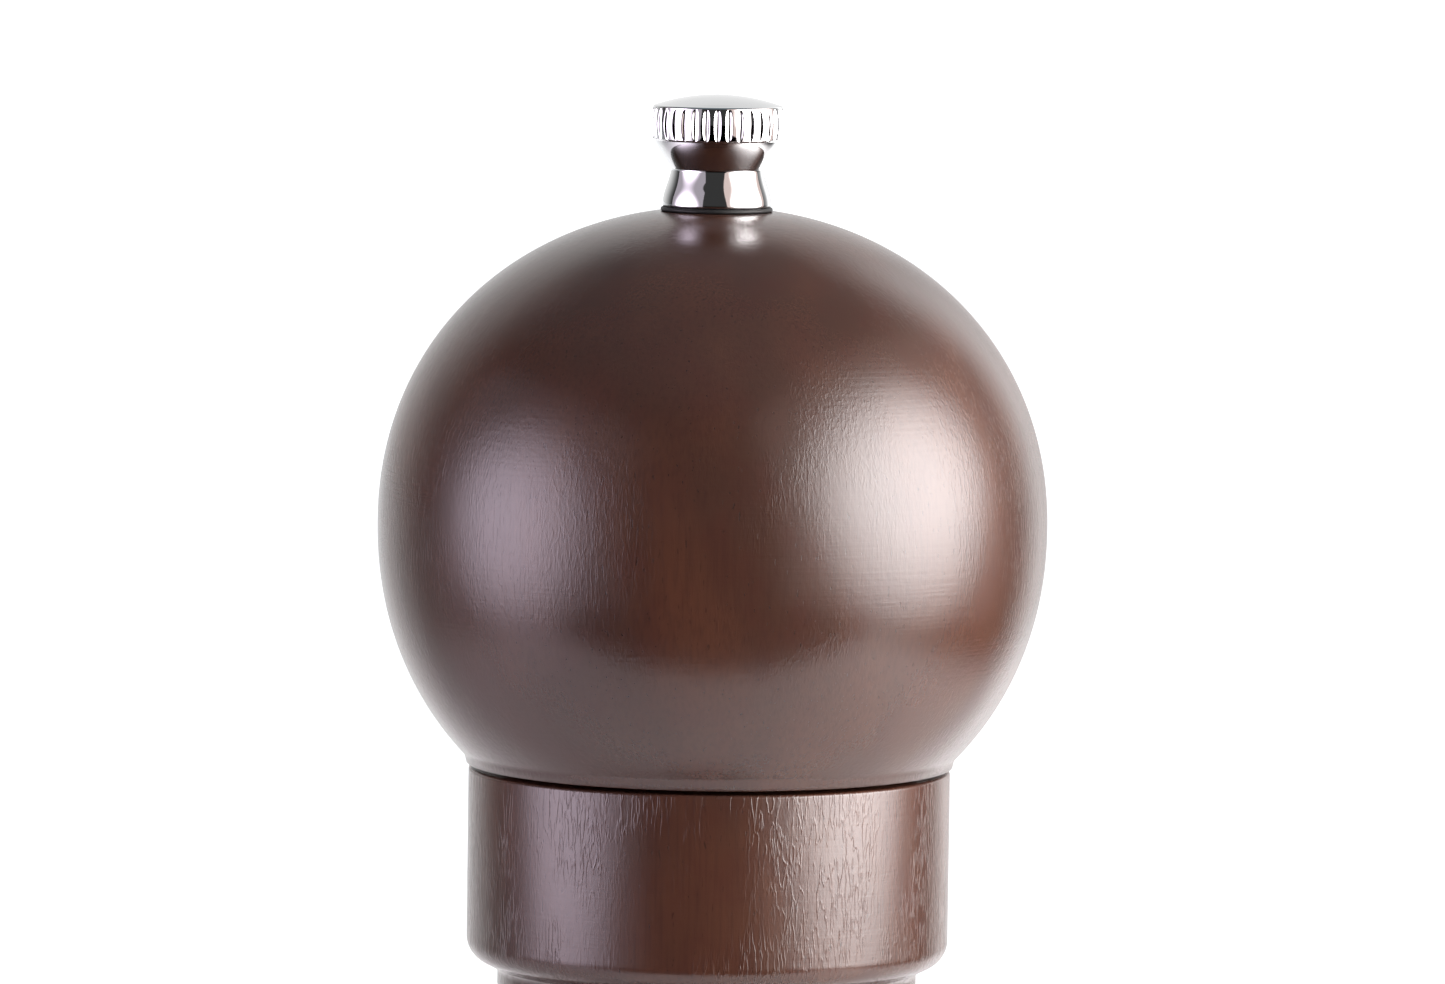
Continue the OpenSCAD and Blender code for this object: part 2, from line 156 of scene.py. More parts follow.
class Signal:
    """An output of a shader node. Sums with it add the Math nodes that work them out."""

    def __init__(self, tree, socket):
        self.tree = tree
        self.socket = socket

    def __add__(self, other):
        return self.tree.maths("ADD", self, other)

    def __sub__(self, other):
        return self.tree.maths("SUBTRACT", self, other)

    def __rsub__(self, other):
        return self.tree.maths("SUBTRACT", other, self)

    def __mul__(self, other):
        return self.tree.maths("MULTIPLY", self, other)

    def __truediv__(self, other):
        return self.tree.maths("DIVIDE", self, other)

    def __rtruediv__(self, other):
        return self.tree.maths("DIVIDE", other, self)

    def __abs__(self):
        return self.tree.maths("ABSOLUTE", self, 0)

    __radd__ = __add__
    __rmul__ = __mul__


class Tree:
    """A shader tree. node() adds any node, with its settings set before its inputs are fed."""

    def __init__(self, nodes, links):
        self.nodes = nodes
        self.links = links

    def node(self, kind, settings=None, inputs=None, output=0):
        node = self.nodes.new("ShaderNode" + kind)
        for name, value in (settings or {}).items():
            setattr(node, name, value)
        for name, value in (inputs or {}).items():
            self.feed(node.inputs[name], value)
        return Signal(self, node.outputs[output])

    def feed(self, socket, value):
        if isinstance(value, Signal):
            self.links.new(value.socket, socket)
        elif socket.type == "RGBA" and len(value) == 3:
            socket.default_value = (*value, 1.0)
        else:
            socket.default_value = value

    def maths(self, operation, first, second):
        return self.node("Math", {"operation": operation}, {0: first, 1: second})

    def between(self, value, low, high):
        """0 below low and 1 above high, with a smooth step between them."""
        settings = {"interpolation_type": "SMOOTHSTEP"}
        return self.node("MapRange", settings, {"Value": value, "From Min": low, "From Max": high})

    def mix(self, share, first, second):
        """first where share is 0 and second where it is 1."""
        settings = {"data_type": "RGBA"}
        return self.node("Mix", settings, {"Factor": share, "A": first, "B": second}, "Result")


class Finish(Tree):
    """A material with one Principled surface."""

    def __init__(self, name):
        self.material = bpy.data.materials.new(name)
        self.material.use_nodes = True
        tree = self.material.node_tree
        super().__init__(tree.nodes, tree.links)
        self.place = self.node("TexCoord", output="Object")

    def surface(self, **sockets):
        """Feeds the surface's sockets by name: base_color is Base Color, and so on."""
        shader = self.nodes["Principled BSDF"]
        for name, value in sockets.items():
            self.feed(shader.inputs[name.replace("_", " ").title().replace("Ior", "IOR")], value)

    def noise(self, size, detail=2.0, shift=(0, 0, 0)):
        """Noise from 0 to 1 about patches of the given size: one length, or one for each axis."""
        widths = size if isinstance(size, tuple) else (size, size, size)
        scale = tuple(1 / width for width in widths)
        inputs = {"Vector": self.place, "Location": shift, "Scale": scale}
        spread = self.node("Mapping", {"vector_type": "POINT"}, inputs)
        return self.node("TexNoise", inputs={"Vector": spread, "Scale": 1.0, "Detail": detail})

    def relief(self, height):
        """The normal of a surface with the given height in metres."""
        return self.node("Bump", inputs={"Height": height, "Strength": 1.0, "Distance": 1.0})


def stained_beech(name, shift, ridge_height):
    """Dark stained beech under satin lacquer. shift picks another part of the tree.

    The water in the stain raised the grain in patches, as wavy ridges that run up the blank. The
    lacquer follows them, and the marks of the lathe, and sinks into the pores.
    """
    dark_red = (0.026, 0.0118, 0.0080)
    warm_red = (0.043, 0.0170, 0.0098)
    blotch_red = (0.030, 0.0100, 0.0070)
    fibre_brown = (0.020, 0.0080, 0.0060)
    pore_black = (0.008, 0.004, 0.003)
    tool_mark_height = 0.007 * mm
    stubble_height = 0.011 * mm
    peel_height = 0.007 * mm
    pore_depth = 0.003 * mm

    wood = Finish(name)
    fibres = wood.noise((0.30 * mm, 0.30 * mm, 7 * mm), 3, shift)
    clouds = wood.noise((12 * mm, 12 * mm, 30 * mm), 2, shift)
    blotches = wood.noise((3 * mm, 3 * mm, 4 * mm), 3, shift)
    pores = wood.between(wood.noise((0.20 * mm, 0.20 * mm, 1.1 * mm), 1, shift), 0.70, 0.76)
    colour = wood.mix(wood.between(clouds, 0.3, 0.7), dark_red, warm_red)
    colour = wood.mix(wood.between(blotches, 0.35, 0.75) * 0.45, colour, blotch_red)
    colour = wood.mix(wood.between(fibres, 0.40, 0.75) * 0.40, colour, fibre_brown)
    colour = wood.mix(pores * 0.5, colour, pore_black)

    grain = wood.noise((0.50 * mm, 0.50 * mm, 3.2 * mm), 2, shift)
    ridges = 1 - wood.between(abs(grain - 0.5), 0.0, 0.055)
    rough_patches = wood.between(wood.noise((6 * mm, 6 * mm, 14 * mm), 2, shift), 0.36, 0.56)
    tool_marks = wood.noise((8 * mm, 8 * mm, 0.26 * mm), 3, shift)
    stubble = wood.noise((0.21 * mm, 0.21 * mm, 0.8 * mm), 2, shift)
    orange_peel = wood.noise(0.55 * mm, 2, shift)
    height = ridges * (rough_patches + 0.15) * ridge_height + tool_marks * tool_mark_height
    height = height + stubble * (rough_patches + 0.4) * stubble_height
    height = height + orange_peel * peel_height - pores * pore_depth
    wood.surface(
        base_color=colour,
        roughness=0.19 + fibres * 0.05,
        specular_ior_level=0.43,
        normal=wood.relief(height),
    )
    return wood


def bare_beech(name):
    """The inside of a bore, straight from the drill."""
    sapwood = (0.44, 0.24, 0.13)
    pale_wood = (0.55, 0.34, 0.20)
    fibre_tan = (0.30, 0.15, 0.08)
    drill_mark_height = 0.02 * mm
    fibre_height = 0.01 * mm

    wood = Finish(name)
    fibres = wood.noise((0.5 * mm, 0.5 * mm, 12 * mm), 3)
    rings = wood.noise((2.0 * mm, 30 * mm, 60 * mm), 2)
    ringed = wood.mix(rings, sapwood, pale_wood)
    drilled = wood.noise((20 * mm, 20 * mm, 0.5 * mm), 1)
    wood.surface(
        base_color=wood.mix(wood.between(fibres, 0.4, 0.8) * 0.5, ringed, fibre_tan),
        roughness=0.72 + fibres * 0.1,
        normal=wood.relief(drilled * drill_mark_height + fibres * fibre_height),
    )
    return wood


body_outline = [
    (recess_radius + recess_chamfer, 0),
    *arc(foot_radius - foot_round, foot_round, foot_round, -90, 0),
    *arc(foot_radius - band_edge, band_top - band_edge, band_edge, 0, 75),
    *arc(bead_radius - bead, band_top + bead, bead, -75, 80, 16),
    *sweep(flare_foot, flare_pull, waist_low_pull, waist),
    *sweep(waist, waist_high_pull, neck_pull, (neck_radius, neck_top))[1:],
    *arc(neck_radius + neck_cove, neck_top + neck_cove, neck_cove, 180, 95),
    *arc(collar_radius - band_edge, collar_foot + band_edge, band_edge, -78, 0, 12),
    *arc(collar_radius - edge_break, seam - edge_break, edge_break, 0, 90),
    (mouth_radius + edge_break, seam),
    (mouth_radius, seam - edge_break),
    (mouth_radius, mouth_floor),
    (store_radius + edge_break, mouth_floor),
    (store_radius, mouth_floor - edge_break),
    (store_radius, burr_shoulder),
    (burr_seat_radius, burr_shoulder),
    (burr_seat_radius, burr_floor),
    (recess_radius, burr_floor),
    (recess_radius, recess_chamfer),
]

lacquered = stained_beech("stained_beech_body", shift=(0, 0, 0), ridge_height=0.013 * mm)
bare = bare_beech("bare_beech")


def bored(r, z):
    """1 inside the mouth, the store and the burr seat, which stay bare, and 0 on the lacquer."""
    if z > mouth_floor:
        return int(r < mouth_radius + hair)
    if z > burr_shoulder:
        return int(r < store_radius + hair or (z > mouth_floor - hair and r < mouth_radius))
    return int(burr_floor < z and r < burr_seat_radius + hair)


turned_body = turned("turned_body", body_outline, [lacquered, bare], sides=256, part=bored)
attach(turned_body, "base")
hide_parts("body")

# ---------------------------------------------------------------------------------------------
# The burrs: a ring and a cone of carbon steel with cut grooves, hardened and left grey. The ring
# sits in the body and the cone turns inside it on the square shaft.
# ---------------------------------------------------------------------------------------------
def repaint(node, finish):
    """Gives a CAD node a better finish."""
    shown = frame["nodes"][node]
    shown.data.materials.clear()
    shown.data.materials.append(finish.material)


def hardened_steel():
    dark_grey = (0.20, 0.20, 0.205)
    pale_grey = (0.34, 0.335, 0.33)
    grit_height = 0.008 * mm
    cut_height = 0.006 * mm

    steel = Finish("hardened_steel")
    scale = steel.noise(1.8 * mm, 3)
    grit = steel.noise(0.25 * mm, 2)
    cuts = steel.noise((6 * mm, 6 * mm, 0.22 * mm), 1)
    steel.surface(
        base_color=steel.mix(steel.between(scale, 0.35, 0.7), dark_grey, pale_grey),
        metallic=1.0,
        roughness=0.36 + scale * 0.18,
        normal=steel.relief(grit * grit_height + cuts * cut_height),
    )
    return steel


burr_steel = hardened_steel()
repaint("stator", burr_steel)
repaint("rotor", burr_steel)


# ---------------------------------------------------------------------------------------------
# The pressed parts: the bridge over the burrs, the seat of the spring, the washer under the cone
# and the bar across the foot, all of zinc-plated strip. The clip is blued spring steel.
# ---------------------------------------------------------------------------------------------
def zinc_plate():
    blue_grey = (0.52, 0.53, 0.55)
    silver = (0.66, 0.66, 0.65)
    crystal_height = 0.002 * mm

    zinc = Finish("zinc_plate")
    spangle = zinc.noise(0.9 * mm, 3)
    rolled = zinc.noise((0.12 * mm, 4 * mm, 4 * mm), 2)
    zinc.surface(
        base_color=zinc.mix(spangle, blue_grey, silver),
        metallic=1.0,
        roughness=0.26 + spangle * 0.14,
        normal=zinc.relief(rolled * crystal_height + spangle * crystal_height),
    )
    return zinc


def blued_steel():
    blue_black = (0.05, 0.055, 0.075)
    brown_black = (0.11, 0.10, 0.11)
    scale_height = 0.003 * mm

    blued = Finish("blued_steel")
    heat = blued.noise(1.2 * mm, 2)
    blued.surface(
        base_color=blued.mix(heat, blue_black, brown_black),
        metallic=1.0,
        roughness=0.30 + heat * 0.1,
        normal=blued.relief(heat * scale_height),
    )
    return blued


zinc = zinc_plate()
for pressed in ("bridge", "spring_seat", "rotor_washer", "retaining_bar"):
    repaint(pressed, zinc)
repaint("shaft_clip", blued_steel())


# ---------------------------------------------------------------------------------------------
# The wood screws, with rolled threads and pressed cross recesses, plated a yellower zinc. Two
# hold the bar across the foot and two hold the drive plate on the head.
# ---------------------------------------------------------------------------------------------
def screw_plate():
    yellow_zinc = (0.60, 0.55, 0.42)
    pale_zinc = (0.64, 0.62, 0.55)
    ripple_height = 0.003 * mm

    plate = Finish("screw_plate")
    tint = plate.noise(0.8 * mm, 2)
    plate.surface(
        base_color=plate.mix(tint, yellow_zinc, pale_zinc),
        metallic=1.0,
        roughness=0.24 + tint * 0.12,
        normal=plate.relief(tint * ripple_height),
    )
    return plate


screw_finish = screw_plate()
repaint("retaining_screws", screw_finish)
repaint("drive_plate_screws", screw_finish)

# ---------------------------------------------------------------------------------------------
# The spring, wound from round wire with its two end turns closed. It stands on the cone and
# presses up on its seat. The real one shortens as the cone rises; this one is built at one length.
# ---------------------------------------------------------------------------------------------
wire_radius = 0.45 * mm
coil_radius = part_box("spring")[1].y - wire_radius
coil_turns = 6
spring_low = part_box("spring")[0].z + wire_radius
spring_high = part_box("spring")[1].z - wire_radius
spring_length = spring_high - spring_low + 2 * wire_radius
closed_pitch = 2.05 * wire_radius
open_pitch = (spring_high - spring_low - 2 * closed_pitch) / (coil_turns - 2)
grind_travel = next(j for j in frame["joints"] if j["name"] == "grind_adjust")["range_m"][1]


def coil_height(turns):
    """The height of the wire's middle after so many turns from its lower end."""
    if turns < 1:
        return spring_low + closed_pitch * turns
    if turns > coil_turns - 1:
        return spring_high - closed_pitch * (coil_turns - turns)
    return spring_low + closed_pitch + open_pitch * (turns - 1)


def drawn_wire():
    dark_wire = (0.42, 0.42, 0.43)
    pale_wire = (0.55, 0.54, 0.53)
    draw_mark_height = 0.002 * mm

    wire = Finish("drawn_wire")
    haze = wire.noise(0.7 * mm, 2)
    wire.surface(
        base_color=wire.mix(haze, dark_wire, pale_wire),
        metallic=1.0,
        roughness=0.22 + haze * 0.12,
        normal=wire.relief(haze * draw_mark_height),
    )
    return wire


def wound_spring(steps=72, sides=16):
    mesh = bpy.data.meshes.new("wound_spring")
    build = bmesh.new()
    rings = []
    for i in range(coil_turns * steps + 1):
        turns = i / steps
        angle = 2 * math.pi * turns
        out = Vector((math.cos(angle), math.sin(angle), 0))
        middle = out * coil_radius + Vector((0, 0, coil_height(turns)))
        ring = []
        for k in range(sides):
            around = 2 * math.pi * k / sides
            across = out * (wire_radius * math.cos(around))
            above = Vector((0, 0, wire_radius * math.sin(around)))
            ring.append(build.verts.new(middle + across + above))
        rings.append(ring)
    for low, high in zip(rings, rings[1:]):
        for k in range(sides):
            build.faces.new((low[k], low[(k + 1) % sides], high[(k + 1) % sides], high[k]))
    build.faces.new(rings[0])
    build.faces.new(list(reversed(rings[-1])))
    for face in build.faces:
        face.smooth = len(face.verts) == 4
    bmesh.ops.recalc_face_normals(build, faces=build.faces)
    build.to_mesh(mesh)
    build.free()
    mesh.materials.append(drawn_wire().material)
    piece = bpy.data.objects.new("wound_spring", mesh)
    scene.collection.objects.link(piece)
    return piece


spring = wound_spring()
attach(spring, "seat")
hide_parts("spring")
length_kept = (spring_length - grind_travel) / spring_length
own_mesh(spring)

# ---------------------------------------------------------------------------------------------
# The shaft: square steel bar with its corners eased, turned down to a journal with a groove for
# the clip at the bottom, and threaded at the top for the knob.
# ---------------------------------------------------------------------------------------------
shaft_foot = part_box("shaft")[0].z
shaft_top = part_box("shaft")[1].z
half_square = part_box("shaft")[1].x
corner_ease = 0.25 * mm
square_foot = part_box("rotor")[0].z
clip_low, clip_high = (corner.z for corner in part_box("shaft_clip"))
journal_radius = 2.5 * mm
journal_chamfer = 0.4 * mm
groove_radius = 2.05 * mm
thread_radius = 2.5 * mm
thread_pitch = 0.8 * mm
thread_depth = 0.42 * mm
thread_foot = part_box("knob_washer")[0].z - 12.5 * mm
thread_chamfer = 0.5 * mm
flank_slope = 2.6
root_flat = 0.15
height_at_tip = 0.3
steps_per_thread = 12


def shaft_shape(r, z, angle):
    """The square below the thread, and above it one helical ridge with a flat crest and root."""
    if square_foot <= z <= thread_foot and r >= half_square:
        to_side = max(abs(math.cos(angle)), abs(math.sin(angle)))
        to_corner = (abs(math.cos(angle)) + abs(math.sin(angle))) / math.sqrt(2)
        return min(half_square / to_side, (half_square * math.sqrt(2) - corner_ease) / to_corner)
    if z > thread_foot and r == thread_radius:
        turn = (z / thread_pitch - angle / (2 * math.pi)) % 1
        ridge = min(1.0, max(0.0, flank_slope * abs(turn - 0.5) - root_flat))
        ends = min(1.0, (z - thread_foot) / thread_pitch, (shaft_top - z) / thread_chamfer + height_at_tip)
        return thread_radius - thread_depth * (1 - ridge * ends)
    return r


thread_steps = round((shaft_top - thread_foot) / thread_pitch * steps_per_thread)
thread_rise = (shaft_top - thread_foot) / thread_steps
shaft_outline = [
    (0, shaft_foot),
    (journal_radius - journal_chamfer, shaft_foot),
    (journal_radius, shaft_foot + journal_chamfer),
    (journal_radius, clip_low),
    (groove_radius, clip_low),
    (groove_radius, clip_high),
    (journal_radius, clip_high),
    (journal_radius, square_foot),
    (half_square, square_foot),
    (half_square, thread_foot),
    *[(thread_radius, thread_foot + thread_rise * i) for i in range(1, thread_steps + 1)],
    (0, shaft_top),
]

steel_shaft = turned("steel_shaft", shaft_outline, [zinc], sides=144, closed=False, turn=shaft_shape)
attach(steel_shaft, "spindle")
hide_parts("shaft")

# ---------------------------------------------------------------------------------------------
# The head: a ball turned from another blank, with a spigot that fits the body's mouth. It is
# bored for the shaft, and bears on the body's rim inside a shallow relief that shows as a gap.
# ---------------------------------------------------------------------------------------------
ball_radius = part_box("head")[1].x
knob_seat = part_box("knob_washer")[0].z
knob_seat_radius = 5.3 * mm
ball_middle = seam + 21.2 * mm
ball_top_height = 27.5 * mm
ball_low_height = 28.6 * mm
ball_power = 2.1
head_edge = seam + 0.35 * mm
land_radius = 18.0 * mm
spigot_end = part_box("head")[0].z
spigot_radius = 14.85 * mm
spigot_chamfer = 0.6 * mm
shaft_bore = 4.6 * mm
thread_bore = 3.0 * mm
thread_bore_foot = knob_seat - 9.5 * mm


def ball_point(angle):
    """A point of the ball's outline at an angle in degrees above its widest part."""
    half_height = ball_top_height if angle > 0 else ball_low_height
    r = ball_radius * abs(math.cos(math.radians(angle))) ** (2 / ball_power)
    z = half_height * abs(math.sin(math.radians(angle))) ** (2 / ball_power)
    return r, ball_middle + math.copysign(z, angle)


ball_start = -60
ball_step = 1.25
ball_points = 120
ball = [ball_point(ball_start + ball_step * i) for i in range(ball_points)]
ball = [(r, z) for r, z in ball if z > head_edge + edge_break and r > knob_seat_radius + edge_break]
lip_radius = ball[0][0]
lip_width = 0.45 * mm
lip_rise = 0.07 * mm
head_outline = [
    (shaft_bore + edge_break, spigot_end),
    (spigot_radius - spigot_chamfer, spigot_end),
    (spigot_radius, spigot_end + spigot_chamfer),
    (spigot_radius, seam),
    (land_radius, seam),
    (land_radius, head_edge),
    (lip_radius - lip_width, head_edge),
    (lip_radius - lip_width / 3, head_edge + lip_rise),
    *ball,
    (knob_seat_radius, knob_seat),
    (thread_bore, knob_seat),
    (thread_bore, thread_bore_foot),
    (shaft_bore, thread_bore_foot),
    (shaft_bore, spigot_end + edge_break),
]


def head_part(r, z):
    """1 in the bore and on the spigot, which stay bare, and 0 on the lacquer."""
    return int(z < seam - hair or r < shaft_bore + hair and z < knob_seat - hair)


head_finish = stained_beech("stained_beech_head", shift=(37, 21, 63), ridge_height=0.004 * mm)
ball_head = turned("ball_head", head_outline, [head_finish, bare], sides=256, part=head_part)
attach(ball_head, "top")
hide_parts("head")

# ---------------------------------------------------------------------------------------------
# The drive plate: a strip with round ends and a square hole, screwed on the end of the spigot. It
# turns the shaft as the head is turned.
# ---------------------------------------------------------------------------------------------
repaint("drive_plate", zinc)

# ---------------------------------------------------------------------------------------------
# The washer under the knob: punched from black fibre, with its edge rounded over. The knob turns
# on it without marking the lacquer.
# ---------------------------------------------------------------------------------------------
washer_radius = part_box("knob_washer")[1].x
washer_low, washer_high = (corner.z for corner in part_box("knob_washer"))
washer_hole = 2.8 * mm
washer_round = (washer_high - washer_low) / 2
washer_outline = [
    (washer_hole, washer_low),
    *arc(washer_radius - washer_round, washer_low + washer_round, washer_round, -90, 90, 10),
    (washer_hole, washer_high),
]


def black_fibre():
    soot = (0.004, 0.004, 0.004)
    charcoal = (0.010, 0.010, 0.010)
    felt_height = 0.012 * mm

    fibre = Finish("black_fibre")
    felt = fibre.noise(0.3 * mm, 3)
    fibre.surface(
        base_color=fibre.mix(felt, soot, charcoal),
        roughness=0.42 + felt * 0.2,
        specular_ior_level=0.25,
        normal=fibre.relief(felt * felt_height),
    )
    return fibre


fibre_washer = turned("fibre_washer", washer_outline, [black_fibre()])
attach(fibre_washer, "washer")
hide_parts("knob_washer")

# ---------------------------------------------------------------------------------------------
# The knob: turned from brass bar, with 36 scooped flutes round its rim, polished and chromed. It
# screws on the shaft, and its flared foot presses on the washer.
# ---------------------------------------------------------------------------------------------
knob_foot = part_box("adjusting_knob")[0].z
knob_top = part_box("adjusting_knob")[1].z
knob_foot_radius = 4.72 * mm
knob_foot_chamfer = 0.15 * mm
foot_edge = (knob_foot_radius, knob_foot + 0.12 * mm)
foot_pull = (knob_foot_radius, knob_foot + 1.3 * mm)
knob_neck_radius = 3.97 * mm
knob_neck = knob_foot + 3.3 * mm
under_neck_pull = (knob_neck_radius + 0.2 * mm, knob_foot + 2.0 * mm)
knob_waist = (knob_neck_radius, knob_neck)
bowl_start = (knob_neck_radius + 0.03 * mm, knob_neck + 0.02 * mm)
bowl_low_pull = (4.5 * mm, knob_foot + 4.1 * mm)
bowl_high_pull = (5.2 * mm, knob_foot + 5.0 * mm)
rim_foot = knob_foot + 5.85 * mm
rim_top = knob_foot + 8.6 * mm
rim_radius = 5.78 * mm
rim_end_radius = 5.60 * mm
rim_edge = 0.2 * mm
bowl_end = (rim_end_radius - 0.12 * mm, rim_foot)
flutes = 36
sides_per_flute = 20
flute_half_width = 0.27 * mm
flute_depth = 0.20 * mm
flute_fullness = 0.7
knob_bore = 2.56 * mm
knob_bore_depth = 7.6 * mm


def fluted(r, z, angle):
    """The radius with the scoops cut in: long oval dents that come to a point at both ends."""
    reach = (z - (rim_foot + rim_top) / 2) / ((rim_top - rim_foot) / 2)
    if abs(reach) >= 1 or r <= knob_bore:
        return r
    pitch = 2 * math.pi / flutes
    across = r * ((angle + pitch / 2) % pitch - pitch / 2)
    inside = 1 - reach ** 4 - (across / flute_half_width) ** 2
    return r - flute_depth * max(0.0, inside) ** flute_fullness


def rim_outline(steps=28):
    """The rim swells a little in the middle, like a barrel."""
    points = []
    for i in range(steps + 1):
        t = i / steps
        swell = (rim_radius - rim_end_radius) * math.sin(math.pi * t)
        points.append((rim_end_radius + swell, rim_foot + (rim_top - rim_foot) * t))
    return points


dome_radius = rim_end_radius - rim_edge
dome_drop = knob_top - rim_top - rim_edge
dome_curve = (dome_radius ** 2 + dome_drop ** 2) / (2 * dome_drop)
dome_steps = 24
dimple_radius = 0.5 * mm
dimple_depth = 0.05 * mm
dome = []
for i in range(1, dome_steps + 1):
    r = dome_radius * (1 - i / dome_steps)
    drop = dimple_depth * max(0.0, 1 - (r / dimple_radius) ** 2)
    dome.append((r, knob_top - dome_curve + math.sqrt(dome_curve ** 2 - r * r) - drop))

knob_outline = [
    (0, knob_foot + knob_bore_depth),
    (knob_bore, knob_foot + knob_bore_depth),
    (knob_bore, knob_foot),
    (knob_foot_radius - knob_foot_chamfer, knob_foot),
    *sweep(foot_edge, foot_pull, under_neck_pull, knob_waist, steps=20),
    *sweep(bowl_start, bowl_low_pull, bowl_high_pull, bowl_end, steps=20),
    *rim_outline(),
    *arc(dome_radius, rim_top, rim_edge, 12, 84, 6),
    *dome,
]


def polished_chrome():
    chrome_grey = (0.55, 0.555, 0.56)
    chrome_silver = (0.59, 0.595, 0.60)
    haze_height = 0.0006 * mm
    polish_height = 0.0001 * mm

    chrome = Finish("polished_chrome")
    haze = chrome.noise(1.6 * mm, 3)
    fine = chrome.noise(0.12 * mm, 2)
    chrome.surface(
        base_color=chrome.mix(haze, chrome_grey, chrome_silver),
        metallic=1.0,
        roughness=0.035 + haze * 0.03,
        normal=chrome.relief(haze * haze_height + fine * polish_height),
    )
    return chrome


knob_sides = flutes * sides_per_flute
chrome = polished_chrome()
chrome_knob = turned("chrome_knob", knob_outline, [chrome], knob_sides, closed=False, turn=fluted)
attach(chrome_knob, "knob")
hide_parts("adjusting_knob")

# ---------------------------------------------------------------------------------------------
# Floor, background and light: white paper underneath, a bright white wall behind, a large warm
# softbox on the right and a dimmer, cooler one on the left. The room in front is dark.
# ---------------------------------------------------------------------------------------------
floor_reach = 12.0
floor_mesh = bpy.data.meshes.new("paper_floor")
corners = [(-floor_reach, -floor_reach, 0), (floor_reach, -floor_reach, 0),
           (floor_reach, floor_reach, 0), (-floor_reach, floor_reach, 0)]
floor_mesh.from_pydata(corners, [], [(0, 1, 2, 3)])
paper_floor = bpy.data.objects.new("paper_floor", floor_mesh)
scene.collection.objects.link(paper_floor)


def lit_behind(tree, side, facing, start):
    """How bright the wall behind is, and the paper's painted glow behind the mill. It fades out to the
    sides and has a bright strip on the right.
    """
    strip = tree.between(side, 0.25, 0.50) * tree.between(facing, 0.65, 0.80)
    return tree.between(facing, start, 0.95) + strip * 0.9


def grey(tree, level):
    """The number as a grey."""
    return tree.node("VectorMath", {"operation": "SCALE"}, {0: (1, 1, 1), "Scale": level}, "Vector")


def white_paper():
    """Paper that is pale all over to look at.

    What the mill reflects of it is painted light and shade: behind the mill it glows as painted light, and
    from just in front of the mill forwards and off to its right it is painted black, as painted shade.
    """
    whiteness = 0.78

    paper = Finish("white_paper")
    across = paper.node("SeparateXYZ", inputs={"Vector": paper.place}, output="X")
    depth = paper.node("SeparateXYZ", inputs={"Vector": paper.place}, output="Y")
    reach = paper.node("VectorMath", {"operation": "LENGTH"}, {"Vector": paper.place}, "Value")
    looked_at = paper.node("LightPath", output="Is Camera Ray")
    # Painted light: in reflections the paper glows behind the mill as if a lamp lit it there.
    painted_glow_behind = lit_behind(paper, across / reach, depth / reach, 0.42) * paper.between(depth, -0.10, 0.50)
    # Painted shade: in reflections the paper is black in front of the mill and off to its right. This mask
    # marks where it keeps its white.
    clear_of_painted_shade = paper.between(depth, -0.21, -0.20) * (1 - paper.between(across, 0.26, 0.43))
    away = paper.between(reach, 0.06, 0.36)
    paper.surface(
        base_color=grey(paper, paper.maths("MAXIMUM", looked_at, clear_of_painted_shade) * whiteness),
        roughness=0.9,
        specular_ior_level=0.0,
        emission_color=paper.mix(looked_at, grey(paper, painted_glow_behind), grey(paper, away)),
        emission_strength=1.0,
    )
    return paper


floor_mesh.materials.append(white_paper().material)


def studio_room():
    """A world that is white to look at, and that the mill reflects as a dim room with a lit wall."""
    white = (1.0, 1.0, 1.0)
    dark_wall = (0.06, 0.06, 0.06)
    ceiling = (0.25, 0.30, 0.34)

    world = bpy.data.worlds.new("studio")
    world.use_nodes = True
    room = Tree(world.node_tree.nodes, world.node_tree.links)
    towards = room.node("TexCoord", output="Generated")
    level = room.node("VectorMath", {"operation": "MULTIPLY"}, {0: towards, 1: (1, 1, 0)}, "Vector")
    level = room.node("VectorMath", {"operation": "NORMALIZE"}, {0: level}, "Vector")
    height = room.node("SeparateXYZ", inputs={"Vector": towards}, output="Z")
    side = room.node("SeparateXYZ", inputs={"Vector": level}, output="X")
    facing = room.node("SeparateXYZ", inputs={"Vector": level}, output="Y")
    lit_wall = lit_behind(room, side, facing, 0.35) * (1 - room.between(height, 0.55, 0.82))
    dim = room.mix(room.between(height, 0.55, 0.95), dark_wall, ceiling)
    reflected = room.node("VectorMath", {"operation": "ADD"}, {0: grey(room, lit_wall), 1: dim}, "Vector")
    looked_at = room.node("LightPath", output="Is Camera Ray")
    room.feed(room.nodes["Background"].inputs["Color"], room.mix(looked_at, reflected, white))
    return world


scene.view_settings.view_transform = "Standard"
scene.world = studio_room()


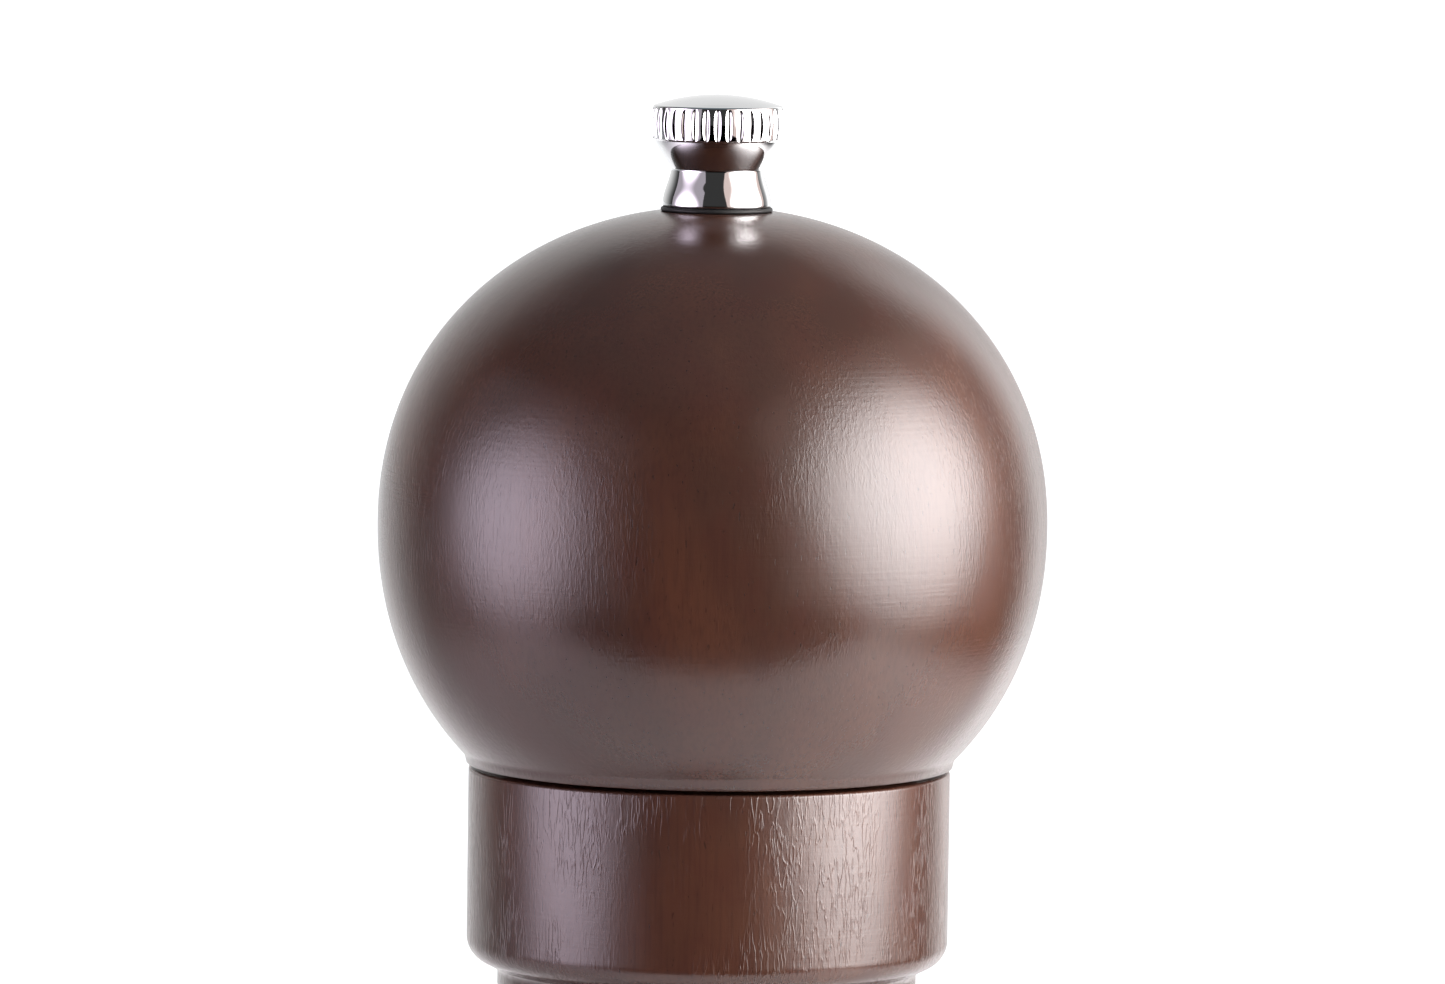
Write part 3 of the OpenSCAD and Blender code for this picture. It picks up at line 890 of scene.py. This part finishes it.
def softbox(name, azimuth, elevation, width, height, middle, edge, core, hem=0.85, distance=0.38):
    """A softbox aimed at the ball's middle, brightest in the middle of its cloth.

    azimuth is in degrees from the mill's front towards its right. middle and edge are the light's
    colours, with its strength in them. core and hem are how far out, as shares of the way to the
    cloth's edge, the first of them ends and the second begins.
    """
    turn = math.radians(azimuth)
    lift = math.radians(elevation)
    away = Vector((math.sin(turn) * math.cos(lift), -math.cos(turn) * math.cos(lift), math.sin(lift)))
    cloth = bpy.data.meshes.new(name)
    x, y = width / 2, height / 2
    cloth.from_pydata([(-x, -y, 0), (-x, y, 0), (x, y, 0), (x, -y, 0)], [], [(0, 1, 2, 3)])
    box = bpy.data.objects.new(name, cloth)
    box.location = Vector((0, 0, ball_middle)) + away * distance
    box.rotation_euler = away.to_track_quat("Z", "Y").to_euler()
    box.visible_camera = False
    scene.collection.objects.link(box)
    glow = Finish(name)
    front = 1 - glow.node("NewGeometry", output="Backfacing")
    spread = glow.node("Mapping", inputs={"Vector": glow.place, "Scale": (1 / x, 1 / y, 0)})
    out = glow.node("VectorMath", {"operation": "LENGTH"}, {"Vector": spread}, "Value")
    light = glow.mix(glow.between(out, core, hem), middle, edge)
    glow.surface(
        base_color=(0, 0, 0),
        specular_ior_level=0.0,
        emission_color=glow.mix(front, (0, 0, 0), light),
        emission_strength=1.0,
    )
    cloth.materials.append(glow.material)


softbox(
    "softbox_right", azimuth=70, elevation=11, width=0.84, height=0.74,
    middle=(20.5, 19.7, 19.7), edge=(1.15, 0.92, 0.86), core=0.13,
)
softbox(
    "softbox_left", azimuth=-69, elevation=2, width=0.62, height=0.60,
    middle=(8.3, 7.2, 8.6), edge=(0.62, 0.56, 0.63), core=0.09,
)

# ---------------------------------------------------------------------------------------------
# Camera: a long lens from the front, a little above the head, close on the head and collar.
# ---------------------------------------------------------------------------------------------
camera_data = bpy.data.cameras.new("camera")
camera_data.lens = 244.6
camera_data.sensor_width = 36.0
camera = bpy.data.objects.new("camera", camera_data)
scene.collection.objects.link(camera)
scene.camera = camera
camera_distance = 0.85
camera_tilt = math.radians(4.94)
camera_roll = math.radians(0.77)
aim = Vector((0.83 * mm, 0.0, ball_middle + 2.81 * mm))
looking = Vector((0.0, math.cos(camera_tilt), -math.sin(camera_tilt)))
camera.location = aim - looking * camera_distance
camera.rotation_euler = (math.pi / 2 - camera_tilt, 0.0, 0.0)
camera.rotation_euler.rotate_axis("Z", camera_roll)
camera_data.clip_start = 0.01
camera_data.clip_end = 100.0
